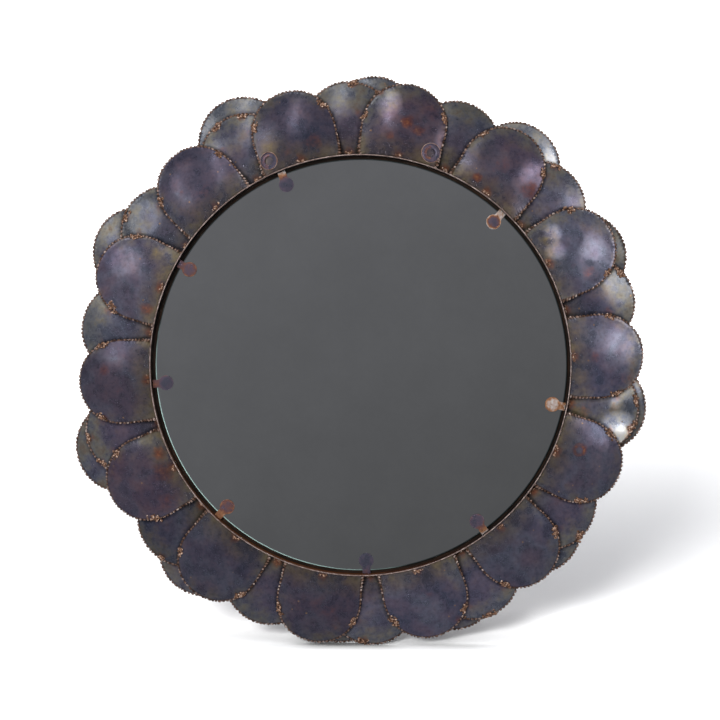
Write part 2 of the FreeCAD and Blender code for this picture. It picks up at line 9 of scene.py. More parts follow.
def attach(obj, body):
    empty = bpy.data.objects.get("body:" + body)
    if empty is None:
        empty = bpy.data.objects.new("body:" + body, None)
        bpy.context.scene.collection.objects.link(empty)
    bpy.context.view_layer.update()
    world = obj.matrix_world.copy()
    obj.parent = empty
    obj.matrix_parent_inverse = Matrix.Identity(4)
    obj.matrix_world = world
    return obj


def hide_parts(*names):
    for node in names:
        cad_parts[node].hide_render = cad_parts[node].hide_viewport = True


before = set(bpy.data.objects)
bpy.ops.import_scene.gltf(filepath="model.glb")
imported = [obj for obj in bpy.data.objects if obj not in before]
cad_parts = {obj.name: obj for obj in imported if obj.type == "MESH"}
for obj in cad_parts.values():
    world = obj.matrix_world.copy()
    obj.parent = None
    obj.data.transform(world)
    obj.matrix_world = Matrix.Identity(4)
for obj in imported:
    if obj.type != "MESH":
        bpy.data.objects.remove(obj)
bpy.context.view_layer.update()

# Round wall mirror with three layers of torch-blued petals: its looks and the studio.
# The hoop's centre is the origin, the glass faces -Y, and the wall is at y = 0.
mm = 0.001
print("frame loaded,", len(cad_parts), "nodes")


def toLinear(hexColour):
    parts = [int(hexColour[i:i + 2], 16) / 255 for i in (1, 3, 5)]
    return tuple(c / 12.92 if c <= 0.04045 else ((c + 0.055) / 1.055) ** 2.4 for c in parts) + (1.0,)


def addNode(tree, kind, settings=None, inputs=None, stops=None):
    node = tree.nodes.new("ShaderNode" + kind)
    for name, value in (settings or {}).items():
        setattr(node, name, value)
    for name, value in (inputs or {}).items():
        if isinstance(value, bpy.types.NodeSocket):
            tree.links.new(value, node.inputs[name])
        else:
            node.inputs[name].default_value = value
    if stops:
        ramp = node.color_ramp
        while len(ramp.elements) < len(stops):
            ramp.elements.new(0.5)
        for element, (position, colour) in zip(ramp.elements, stops):
            element.position = position
            element.color = toLinear(colour) if isinstance(colour, str) else (colour, colour, colour, 1)
    return node


def newMaterial(name, **shaderValues):
    material = bpy.data.materials.new(name)
    material.use_nodes = True
    tree = material.node_tree
    tree.nodes.clear()
    shader = addNode(tree, "BsdfPrincipled", inputs=shaderValues)
    addNode(tree, "OutputMaterial", inputs={"Surface": shader.outputs["BSDF"]})
    return material, tree, shader


def ringPlace(angle, out, height, tilt=0.0):  # on a ray of the hoop, forward of the wall, leaning outwards
    return (Matrix.Rotation(math.radians(90), 4, "X") @ Matrix.Rotation(math.radians(angle), 4, "Z")
            @ Matrix.Translation((out, 0, height)) @ Matrix.Rotation(math.radians(tilt), 4, "Y"))


def addPiece(name, bm, materials, nodes, body="frame", sharp=35):
    mesh = bpy.data.meshes.new(name)
    bm.to_mesh(mesh)
    bm.free()
    for material in materials:
        mesh.materials.append(material)
    mesh.shade_smooth()
    mesh.set_sharp_from_angle(angle=math.radians(sharp))
    piece = bpy.data.objects.new(name, mesh)
    bpy.context.scene.collection.objects.link(piece)
    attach(piece, body)
    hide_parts(*nodes)
    return piece


camera = {"distance": 3.30, "elevation": 2.0, "azimuth": 1.75, "lens": 117.0,
          "aim": (0.0003, -0.058, 0.0081)}
lensData = bpy.data.cameras.new("camera")
lensData.lens = camera["lens"]
lensData.sensor_width = 36
cameraObject = bpy.data.objects.new("camera", lensData)
az, el = math.radians(camera["azimuth"]), math.radians(camera["elevation"])
back = Vector((math.sin(az) * math.cos(el), -math.cos(az) * math.cos(el), math.sin(el)))
cameraObject.location = Vector(camera["aim"]) + back * camera["distance"]
cameraObject.rotation_euler = back.to_track_quat("Z", "Y").to_euler()
bpy.context.scene.collection.objects.link(cameraObject)
bpy.context.scene.camera = cameraObject


# what each petal's mesh tells its steel, vertex by vertex
petalKeys = ("petalSeed", "tone", "violet", "core", "olive", "rust", "seam", "hem", "notch")


def bluedSteel():
    # mild steel sheet blued with a torch under satin lacquer: indigo where it ran hottest in the middle of
    # each petal, grey and olive scale towards its rim, red-brown where it stayed hot, coppery beads on the
    # nibbled edge; with painted glints on the beads, painted shade in the bites and along the rims of the petals
    # above, and painted light in the tone
    material, tree, shader = newMaterial("torchBluedSteel")
    place = addNode(tree, "TexCoord").outputs["Object"]
    value = {key: addNode(tree, "Attribute", {"attribute_name": key}).outputs["Fac"] for key in petalKeys}
    # clouds of about 70 mm, patches of 22 mm, specks of 5 mm and finer
    for key, scale, detail, roughness in (
            ("broad", 14, 3, 0.5), ("patchy", 46, 6, 0.66), ("speck", 190, 4, 0.7)):
        value[key] = addNode(tree, "TexNoise", {"noise_dimensions": "4D"}, {
            "Vector": place, "W": value["petalSeed"], "Scale": scale, "Detail": detail,
            "Roughness": roughness}).outputs["Fac"]
    value["rim"] = addNode(tree, "TexNoise", inputs={      # 4 mm
        "Vector": place, "Scale": 230, "Detail": 3}).outputs["Fac"]
    value["drop"] = addNode(tree, "TexVoronoi", inputs={"Vector": place, "Scale": 45}).outputs["Distance"]
    # each sum is the first times the share, plus the second
    for key, first, share, second in (
            ("reddening", "violet", 1.0, "patchy"), ("uneven", "broad", 0.67, "patchy"),
            ("cooling", "core", -0.556, "uneven"), ("ragged", "speck", 0.385, "patchy"),
            ("rusting", "rust", 0.77, "ragged"), ("rustHue", "rust", 0.4, "speck"),
            ("bead", "notch", -1.0, "hem")):
        value[key] = addNode(tree, "Math", {"operation": "MULTIPLY_ADD"},
                             {0: value[first], 1: share, 2: value[second]}).outputs["Value"]
    # each of these runs from its least to its most, while its source runs from low to high
    for key, source, low, high, least, most in (
            ("reddened", "reddening", 0.40, 1.3, 0.0, 1.0), ("cooled", "cooling", 0.44, 0.78, 0.0, 1.0),
            ("goldPatch", "patchy", 0.4, 0.6, 0.25, 0.9), ("rusted", "rusting", 0.92, 1.35, 0.0, 0.9),
            # the seam's mask is painted shade along the rims of the petals above
            ("spattered", "drop", 0.075, 0.04, 0.0, 0.8), ("paintedSeamShade", "seam", 0.0, 1.0, 0.0, 0.78),
            ("burnt", "hem", 0.02, 0.3, 0.0, 0.75), ("beaded", "bead", 0.12, 0.45, 0.0, 1.0),
            # the notch's mask below is painted shade in the bites of the rim
            ("paintedNotchShade", "notch", 0.35, 0.8, 0.0, 1.0), ("gloss", "patchy", 0.3, 0.7, 0.22, 0.38),
            ("metal", "bead", 0.12, 0.45, 0.94, 0.85)):
        value[key] = addNode(tree, "MapRange", inputs={
            "Value": value[source], "From Min": low, "From Max": high,
            "To Min": least, "To Max": most}).outputs["Result"]
    value["dull"] = addNode(tree, "Math", {"operation": "MULTIPLY_ADD"},      # rust is matt
                            {0: value["rusted"], 1: 0.22, 2: value["gloss"]}).outputs["Value"]
    value["gilded"] = addNode(tree, "Math", {"operation": "MULTIPLY"},
                              {0: value["olive"], 1: value["goldPatch"]}).outputs["Value"]
    value["toned"] = addNode(tree, "CombineXYZ", inputs={
        axis: value["tone"] for axis in "XYZ"}).outputs["Vector"]
    for key, source, stops in (
            ("blueTint", "broad",
             [(0.37, "#606479"), (0.46, "#68667a"), (0.55, "#74788a"), (0.64, "#6f697a")]),
            ("wineTint", "patchy", [(0.38, "#6c5468"), (0.62, "#765452")]),
            ("greyTint", "patchy",
             [(0.36, "#6c727e"), (0.48, "#78797e"), (0.57, "#7e7a72"), (0.66, "#72665c")]),
            ("rustTint", "rustHue",
             [(0.50, "#643640"), (0.62, "#78423c"), (0.76, "#884a38"), (0.92, "#aa7452")]),
            ("patchTint", "patchy", [(0.34, 0.70), (0.66, 1.26)]),
            ("speckTint", "speck", [(0.34, 0.76), (0.5, 1.0), (0.70, 1.18)]),
            # the bead tint is coppery, and its pale end is painted glints on the beads' tips
            ("beadTintAndGlint", "rim",
             [(0.36, "#3e2e26"), (0.46, "#684e40"), (0.56, "#90766a"), (0.66, "#beaea6")])):
        value[key] = addNode(tree, "ValToRGB", inputs={"Fac": value[source]}, stops=stops).outputs["Color"]
    # from the bare sheet up; the olive and gold lie near the hoop, which drew the heat away
    colour = value["blueTint"]
    for amount, over, blend in (
            (value["reddened"], value["wineTint"], "MIX"), (value["cooled"], value["greyTint"], "MIX"),
            (value["gilded"], toLinear("#84765c"), "MIX"), (value["rusted"], value["rustTint"], "MIX"),
            (1.0, value["patchTint"], "MULTIPLY"), (1.0, value["speckTint"], "MULTIPLY"),
            (1.0, value["toned"], "MULTIPLY"), (value["spattered"], toLinear("#b08c6c"), "MIX"),
            (value["paintedSeamShade"], toLinear("#181416"), "MIX"), (value["burnt"], toLinear("#463228"), "MIX"),
            (value["beaded"], value["beadTintAndGlint"], "MIX"), (value["paintedNotchShade"], toLinear("#1c1614"), "MIX")):
        colour = addNode(tree, "Mix", {"data_type": "RGBA", "blend_type": blend},
                         {0: amount, 6: colour, 7: over}).outputs[2]
    tree.links.new(colour, shader.inputs["Base Color"])
    # the burnt beads scatter light, where the lacquered sheet mirrors it
    tree.links.new(value["metal"], shader.inputs["Metallic"])
    tree.links.new(value["dull"], shader.inputs["Roughness"])
    grain = addNode(tree, "TexNoise", inputs={"Vector": place, "Scale": 700, "Detail": 3})     # 1.4 mm
    bump = addNode(tree, "Bump", inputs={
        "Height": grain.outputs["Fac"], "Strength": 0.12, "Distance": 0.2 * mm})
    tree.links.new(bump.outputs["Normal"], shader.inputs["Normal"])
    return material


def scaledSteel(name, dark, mid, light, roughness=0.5, metallic=0.9, scale=60):
    # hot rolled strip with its brown scale: dull dark patches over a warmer metal
    material, tree, shader = newMaterial(name, Metallic=metallic)
    place = addNode(tree, "TexCoord").outputs["Object"]
    patches = addNode(tree, "TexNoise", inputs={
        "Vector": place, "Scale": scale, "Detail": 6, "Roughness": 0.6})
    tint = addNode(tree, "ValToRGB", inputs={"Fac": patches.outputs["Fac"]},
                   stops=[(0.3, dark), (0.5, mid), (0.72, light)])
    tree.links.new(tint.outputs["Color"], shader.inputs["Base Color"])
    gloss = addNode(tree, "MapRange", inputs={
        "Value": patches.outputs["Fac"], "From Min": 0.3, "From Max": 0.7,
        "To Min": roughness - 0.08, "To Max": roughness + 0.1})
    tree.links.new(gloss.outputs["Result"], shader.inputs["Roughness"])
    grain = addNode(tree, "TexNoise", inputs={"Vector": place, "Scale": 700, "Detail": 4})
    bump = addNode(tree, "Bump", inputs={
        "Height": grain.outputs["Fac"], "Strength": 0.2, "Distance": 0.3 * mm})
    tree.links.new(bump.outputs["Normal"], shader.inputs["Normal"])
    return material


def hoopWall():
    # inside of the hoop: painted light and shade, brown low on the left where light reaches the wall, near black
    # elsewhere where the wall lies in shade
    material, tree, shader = newMaterial("hoopStripPaintedLight", Roughness=0.55, Metallic=0.3)
    place = addNode(tree, "TexCoord").outputs["Object"]
    split = addNode(tree, "SeparateXYZ", inputs={0: place})
    low = addNode(tree, "Math", {"operation": "MULTIPLY_ADD"},
                  {0: split.outputs["X"], 1: 0.65, 2: split.outputs["Z"]})
    streaks = addNode(tree, "TexNoise", inputs={"Vector": place, "Scale": 60, "Detail": 4})
    side = addNode(tree, "Math", {"operation": "MULTIPLY_ADD"},
                   {0: streaks.outputs["Fac"], 1: 0.22, 2: low.outputs["Value"]})
    level = addNode(tree, "MapRange", inputs={
        "Value": side.outputs["Value"], "From Min": -0.24, "From Max": 0.02})
    tint = addNode(tree, "ValToRGB", inputs={"Fac": level.outputs["Result"]},
                   stops=[(0.0, "#5a3219"), (0.4, "#3c2013"), (0.75, "#1c120e"), (1.0, "#0b0908")])
    tree.links.new(tint.outputs["Color"], shader.inputs["Base Color"])
    bump = addNode(tree, "Bump", inputs={
        "Height": streaks.outputs["Fac"], "Strength": 0.2, "Distance": 0.3 * mm})
    tree.links.new(bump.outputs["Normal"], shader.inputs["Normal"])
    return material


def tintedSteel():
    # tabs and washers: bare sheet tinted by the torch, from blue-violet to copper
    material, tree, shader = newMaterial("heatTintedSteel", Metallic=0.88)
    place = addNode(tree, "TexCoord").outputs["Object"]
    heat = addNode(tree, "Attribute", {"attribute_name": "torchHeat"}).outputs["Fac"]
    patches = addNode(tree, "TexNoise", inputs={"Vector": place, "Scale": 170, "Detail": 4, "Roughness": 0.6})
    uneven = addNode(tree, "Math", {"operation": "MULTIPLY_ADD"},
                     {0: patches.outputs["Fac"], 1: 0.9, 2: heat})
    level = addNode(tree, "Math", {"operation": "SUBTRACT"}, {0: uneven.outputs["Value"], 1: 0.45})
    tint = addNode(tree, "ValToRGB", inputs={"Fac": level.outputs["Value"]}, stops=[
        (0.0, "#4c4c5a"), (0.25, "#625766"), (0.5, "#7c564c"), (0.75, "#b07e5a"), (1.0, "#dcd6d4")])
    tree.links.new(tint.outputs["Color"], shader.inputs["Base Color"])
    gloss = addNode(tree, "MapRange", inputs={
        "Value": patches.outputs["Fac"], "From Min": 0.3, "From Max": 0.7, "To Min": 0.24, "To Max": 0.4})
    tree.links.new(gloss.outputs["Result"], shader.inputs["Roughness"])
    bump = addNode(tree, "Bump", inputs={
        "Height": patches.outputs["Fac"], "Strength": 0.4, "Distance": 0.6 * mm})
    tree.links.new(bump.outputs["Normal"], shader.inputs["Normal"])
    return material


def brazeFiller():
    # brazed filler, lumpy and coppery, dark in its hollows, with painted glints on its tops
    material, tree, shader = newMaterial("brazeFiller", Metallic=0.75)
    place = addNode(tree, "TexCoord").outputs["Object"]
    lumps = addNode(tree, "TexNoise", inputs={"Vector": place, "Scale": 380, "Detail": 4, "Roughness": 0.65})
    # the same noise raises the bumps: darker low, paler high, the pale tops being painted glints
    tint = addNode(tree, "ValToRGB", inputs={"Fac": lumps.outputs["Fac"]},
                   stops=[(0.36, "#261c18"), (0.47, "#5c4234"), (0.56, "#886854"), (0.66, "#cebcb0")])
    tree.links.new(tint.outputs["Color"], shader.inputs["Base Color"])
    gloss = addNode(tree, "MapRange", inputs={
        "Value": lumps.outputs["Fac"], "From Min": 0.3, "From Max": 0.7, "To Min": 0.6, "To Max": 0.36})
    tree.links.new(gloss.outputs["Result"], shader.inputs["Roughness"])
    bump = addNode(tree, "Bump", inputs={"Height": lumps.outputs["Fac"], "Strength": 0.8, "Distance": 1 * mm})
    tree.links.new(bump.outputs["Normal"], shader.inputs["Normal"])
    return material


def silveredGlass():
    # float glass silvered on its back: a clean mirror, a little grey from the glass
    material, tree, shader = newMaterial("silveredFloatGlass", Metallic=1.0, Roughness=0.015)
    place = addNode(tree, "TexCoord").outputs["Object"]
    haze = addNode(tree, "TexNoise", inputs={"Vector": place, "Scale": 9, "Detail": 5, "Roughness": 0.7})
    tint = addNode(tree, "ValToRGB", inputs={"Fac": haze.outputs["Fac"]},
                   stops=[(0.35, "#e2e2e2"), (0.7, "#ebebeb")])
    tree.links.new(tint.outputs["Color"], shader.inputs["Base Color"])
    return material


def groundGlass():
    # ground edge of the pane: deep green, with painted light: it glows, paler low on the left, standing in for
    # light that runs through the glass
    material, tree, shader = newMaterial("groundGlassEdge", Roughness=0.35)
    place = addNode(tree, "TexCoord").outputs["Object"]
    split = addNode(tree, "SeparateXYZ", inputs={0: place})
    low = addNode(tree, "Math", {"operation": "ADD"}, {0: split.outputs["X"], 1: split.outputs["Z"]})
    frost = addNode(tree, "TexNoise", inputs={"Vector": place, "Scale": 40, "Detail": 4})
    side = addNode(tree, "Math", {"operation": "MULTIPLY_ADD"},
                   {0: frost.outputs["Fac"], 1: 0.12, 2: low.outputs["Value"]})
    level = addNode(tree, "MapRange", inputs={
        "Value": side.outputs["Value"], "From Min": -0.30, "From Max": -0.16})
    tint = addNode(tree, "ValToRGB", inputs={"Fac": level.outputs["Result"]},
                   stops=[(0.0, "#5f706d"), (1.0, "#15191a")])
    tree.links.new(tint.outputs["Color"], shader.inputs["Base Color"])
    # the edge glows with its own tint: painted light
    tree.links.new(tint.outputs["Color"], shader.inputs["Emission Color"])
    shader.inputs["Emission Strength"].default_value = 0.35
    return material


def hardboard():
    # pressed wood fibre: brown, matt, with short fibres all ways
    material, tree, shader = newMaterial("pressedHardboard", Roughness=0.8)
    place = addNode(tree, "TexCoord").outputs["Object"]
    fibres = addNode(tree, "TexNoise", inputs={"Vector": place, "Scale": 450, "Detail": 6, "Distortion": 1.5})
    tint = addNode(tree, "ValToRGB", inputs={"Fac": fibres.outputs["Fac"]},
                   stops=[(0.3, "#4a3020"), (0.5, "#6b4830"), (0.7, "#83603f")])
    tree.links.new(tint.outputs["Color"], shader.inputs["Base Color"])
    bump = addNode(tree, "Bump", inputs={
        "Height": fibres.outputs["Fac"], "Strength": 0.4, "Distance": 0.3 * mm})
    tree.links.new(bump.outputs["Normal"], shader.inputs["Normal"])
    return material


def zincPlate():
    # bright zinc on the hangers, cloudy from the bath
    material, tree, shader = newMaterial("zincPlatedSteel", Metallic=1.0)
    place = addNode(tree, "TexCoord").outputs["Object"]
    spangle = addNode(tree, "TexVoronoi", inputs={"Vector": place, "Scale": 260})
    tint = addNode(tree, "ValToRGB", inputs={"Fac": spangle.outputs["Distance"]},
                   stops=[(0.0, "#b4b4b0"), (0.6, "#c9cac8")])
    tree.links.new(tint.outputs["Color"], shader.inputs["Base Color"])
    gloss = addNode(tree, "MapRange", inputs={
        "Value": spangle.outputs["Distance"], "From Min": 0.0, "From Max": 0.6, "To Min": 0.28, "To Max": 0.42})
    tree.links.new(gloss.outputs["Result"], shader.inputs["Roughness"])
    return material


petalSteel = bluedSteel()
hoopSteel = hoopWall()
hoopEdge = scaledSteel("rubbedHoopEdge", "#60504a", "#887670", "#baaaa4",
                       roughness=0.35, metallic=0.8, scale=200)
# the ledge is near black: painted shade for the gap between the glass and the hoop
ledgeInPaintedShade = scaledSteel("ledgeInPaintedShade", "#080605", "#100b08", "#1c120c",
                         roughness=0.6, metallic=0.3, scale=30)
blackScale = scaledSteel("blackScaledBar", "#1c1a1a", "#26231f", "#332c26", roughness=0.6)
tabSteel = tintedSteel()
filler = brazeFiller()
mirrorFace = silveredGlass()
glassEdge = groundGlass()
board = hardboard()
zinc = zincPlate()
print("materials made")


petals = {
    "radius": 66.6 * mm,          # outer face, at the tips of the bites
    "rise": 12.0 * mm,
    "sheet": 1.2 * mm,
    "dome": 183.24 * mm,          # radius of the outer face's sphere
    "hoop": 298.1 * mm,           # petals are trimmed here
    "bitePitch": 5.7 * mm,
    "biteDepth": 2.2 * mm,
    "bead": 1.5 * mm,             # the sheet stands up between two bites
    "biteSwing": 0.45,            # how unevenly the bites are spaced
    "stepsPerBite": 4,
    "rings": 15,
    "closing": 0.9,               # the rings lie a little closer together outwards
    "hem": [4.2 * mm, 2.8 * mm, 1.4 * mm],    # extra rings inside the rim, which carry the beads
    "ripple": 0.42 * mm,          # hand-beaten unevenness
    "wander": 1.2 * mm,           # the rim was cut by eye
    "tip": 0.7,                   # how much of its breadth the tip has back
    "flareEnd": 0.8,              # the sides run straight from here to the hoop
    "halo": 15 * mm,              # the brazing torch rusted the sheet round each tack
    "haloRust": 0.9,
    "tackReach": 80 * mm,         # tacks further off leave no halo
    "seam": 4 * mm,               # painted shade lies this far along the rims of the petals above
    "olive": 34 * mm,             # the scale is olive as far as this from the hoop
    "hot": 16 * mm,               # the torch was held this near to the middle
    "above": 2.2,                 # petals within so many radii lie one over the other
    "seat": 298,                  # mm, the hoop's outside
    "disc": 65,                   # mm, from a petal's middle to the tip that the overhang is given for
}
layers = {
    "front": {"tilt": 14, "height": 37.8, "overhang": 104.0, "heat": 0.45, "waist": 0.915, "flare": 0.96,
              "angles": [79.6, 53.9, 28.3, 2.3, 336.5, 311.0, 285.8, 260.0, 234.2, 208.2, 184.0, 158.5,
                         132.4, 106.0],
              "shares": [1.015, 0.997, 1.011, 0.992, 0.978, 0.985, 1.003, 0.996, 1.013, 1.02, 1.006,
                         0.985, 0.971, 1.003]},
    "mid": {"tilt": 8, "height": 24.0, "overhang": 104.0, "heat": -0.05, "waist": 1.0, "flare": 0.32,
            "angles": [66.6, 41.3, 15.2, 349.4, 323.8, 298.3, 272.7, 247.2, 221.3, 196.1, 171.3, 145.6,
                       119.2, 92.8],
            "shares": [0.996, 1.013, 0.993, 0.988, 0.983, 1.027, 0.989, 0.974, 1.011, 1.045, 1.01,
                       0.989, 0.977, 1.009]},
    "back": {"tilt": 4, "height": 7.5, "overhang": 116.48, "heat": -0.05, "waist": 1.0, "flare": 0.32,
             "angles": [87.0, 52.0, 26.0, 350.0, 317.0, 292.5, 265.0, 230.0, 199.0, 153.5, 117.8],
             "shares": [0.973, 1.05, 0.994, 0.979, 0.945, 0.936, 0.883, 1.014, 1.128, 1.067, 1.073]},
}
# dents by petal: angle round the hoop, distance from its centre, size and depth, in degrees and mm
dents = {
    "frontPetal01": [(84, 374, 22, 1.0), (76, 345, 30, 1.2)],
    "frontPetal02": [(51, 352, 30, -0.9)],
    "frontPetal03": [(32, 343, 25, 3.0), (23, 350, 15, 0.9)],
    "frontPetal04": [(3.5, 380, 26, 1.2)],
    "frontPetal05": [(341, 370, 30, -1.2)],
    "frontPetal08": [(259, 352, 40, 1.6)],
    "frontPetal10": [(206, 352, 36, 1.5)],
    "frontPetal12": [(156.5, 377, 26, 1.2)],
    "frontPetal13": [(131, 350, 38, 1.8)],
    "midPetal03": [(24, 379, 26, 1.6), (17, 379, 22, 1.2)],
    "midPetal04": [(348.3, 379, 26, 5.0)],
    "midPetal12": [(146, 372, 30, 1.6)],
    "backPetal02": [(54, 392, 28, 2.5)],
}
# rust by petal: angle, distance, size and strength of each spot
rustSpots = {
    "frontPetal01": [(79, 350, 15, 0.75), (76, 342, 13, 0.7), (82.5, 326, 10, 0.5), (73, 372, 26, 0.3)],
    "frontPetal02": [(45, 340, 26, 0.50), (54, 340, 24, 0.36), (58, 312, 10, 0.9)],
    "frontPetal03": [(22, 350, 20, 0.42), (25, 331, 10, 0.5)],
    "frontPetal04": [(2, 331, 12, 0.5), (357, 372, 22, 0.35)],
    "frontPetal05": [(339, 332, 14, 1.08), (339, 332, 6.5, -1.0)],
    "frontPetal07": [(286, 340, 24, 0.35)],
    "frontPetal08": [(262, 345, 22, 0.42)],
    "frontPetal09": [(234, 340, 26, 0.3)],
    "frontPetal10": [(208.5, 318, 22, 0.62), (203.5, 309, 16, 0.62), (215, 330, 24, 0.42)],
    "frontPetal11": [(181, 364, 13, 0.5), (186, 340, 16, 0.3)],
    "frontPetal12": [(165, 313, 14, 0.6), (160, 340, 12, 0.4)],
    "frontPetal13": [(132, 330, 20, 0.45), (136, 352, 8, 0.4)],
    "frontPetal14": [(102, 324, 22, 0.55), (104, 350, 12, 0.4), (109, 318, 12, 0.4)],
    "midPetal04": [(349, 325, 16, 0.4)],
    "midPetal13": [(115, 325, 14, 0.5)],
}
# painted highlights: places made lighter where they should catch the lamps, and two spots of painted shade
paintedLightSpots = {
    "frontPetal01": [(83.8, 356, 11, 0.6), (83.5, 371, 13, 0.9), (83.3, 386, 12, 0.7)],
    "frontPetal02": [(49, 371, 15, 0.8), (61, 348, 26, -0.4), (45, 342, 24, -0.45)],
    "frontPetal03": [(34.5, 330, 15, 2.2), (30.5, 320, 16, 2.2), (24, 379, 24, 0.15)],
    "frontPetal04": [(4.0, 384, 18, 0.5)],
    "frontPetal12": [(156.5, 377, 22, 0.4)],
    "midPetal03": [(19, 380, 24, 0.3)],
    "midPetal04": [(345.8, 377, 30, 4.0), (351.5, 366, 10, 1.6)],
    "backPetal02": [(50, 392, 34, 0.8)],
}
# gold and olive patches
goldSpots = {
    "frontPetal03": [(34, 316, 24, 1.6)],
    "frontPetal14": [(112, 330, 30, 1.2)],
    "frontPetal12": [(151, 330, 22, 1.2)],
    "midPetal04": [(346.5, 312, 24, 2.0)],
    "midPetal01": [(67, 315, 22, 1.2)],
    "midPetal13": [(117, 312, 22, 1.6)],
}
# how light the sheet is, partly painted light: lighter on petals that catch the lamps, darker where their
# highlights are damped; and how far towards violet and rust its blue has gone; 1 and 0 when not named
tones = {
    "frontPetal01": (0.76, 0.35), "frontPetal02": (0.86, 0.25), "frontPetal03": (1.14, 0.00),
    "frontPetal04": (1.12, 0.05), "frontPetal05": (0.82, 0.05), "frontPetal06": (0.82, 0.00),
    "frontPetal07": (1.00, 0.05), "frontPetal08": (0.72, 0.20), "frontPetal09": (0.70, 0.05),
    "frontPetal10": (0.84, 0.35), "frontPetal11": (0.74, 0.10), "frontPetal12": (1.05, 0.10),
    "frontPetal13": (0.76, 0.08), "frontPetal14": (0.70, 0.10), "midPetal01": (0.78, 0.05),
    "midPetal02": (1.05, 0.10), "midPetal03": (0.95, 0.05), "midPetal04": (1.20, 0.00),
    "midPetal06": (1.15, 0.10), "midPetal07": (1.05, 0.10), "midPetal08": (0.85, 0.10),
    "midPetal09": (0.62, 0.00), "midPetal12": (0.86, 0.00), "midPetal13": (0.92, 0.05),
    "midPetal14": (0.85, 0.15), "backPetal02": (2.00, 0.00), "backPetal03": (0.55, 0.00),
    "backPetal11": (1.10, 0.00),
}


def onWall(angle, out):  # a point given round the hoop, in the x and z of the scene
    return Vector((out * mm * math.cos(math.radians(angle)), out * mm * math.sin(math.radians(angle))))


def marksOf(name, table):  # one petal's marks: centre, size in metres, strength
    return [(onWall(angle, out), size * mm, strength) for angle, out, size, strength in table.get(name, [])]


def fadedAt(spot, marks, power):  # what is left of each mark's strength at a spot
    return [strength * max(0.0, 1 - ((spot - centre).length / size) ** power)
            for centre, size, strength in marks]


def facingForward(faces):  # a small solid's hidden end, its front end, and the way that one looks
    front = [f for f in faces if f.normal.y < -0.8]
    axis = sum((f.normal * f.calc_area() for f in front), Vector()).normalized()
    verts = {v for f in faces for v in f.verts}
    middle = sum((v.co for v in verts), Vector()) / len(verts)
    levels = [v.co.dot(axis) - middle.dot(axis) for v in verts]
    return middle + axis * min(levels), middle + axis * max(levels), axis


def solidsOf(node):  # the separate solids of a node's mesh
    bm = bmesh.new()
    bm.from_mesh(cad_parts[node].data)
    bmesh.ops.remove_doubles(bm, verts=bm.verts, dist=0.01 * mm)
    bm.normal_update()
    left, places = set(bm.verts), []
    for first in list(bm.verts):
        if first in left:
            group, edge = {first}, [first]
            while edge:
                nearby = [e.other_vert(v) for v in edge for e in v.link_edges]
                edge = [v for v in set(nearby) if v not in group]
                group.update(edge)
            left -= group
            places.append(facingForward({f for v in group for f in v.link_faces}))
    bm.free()
    return places


petalTacks, hoopTacks = solidsOf("petal_tacks"), solidsOf("rim_tacks")
brazedAt = [top for seat, top, axis in petalTacks + hoopTacks]


def breadth(x, layer):  # the discs are a little narrow across the middle, and stay broad towards the hoop
    along = x / petals["radius"]
    if along > 0:
        return layer["waist"] + (1 - layer["waist"]) * petals["tip"] * along ** 2
    return layer["waist"] * (1 + layer["flare"] * min(petals["flareEnd"], -along) ** 3)


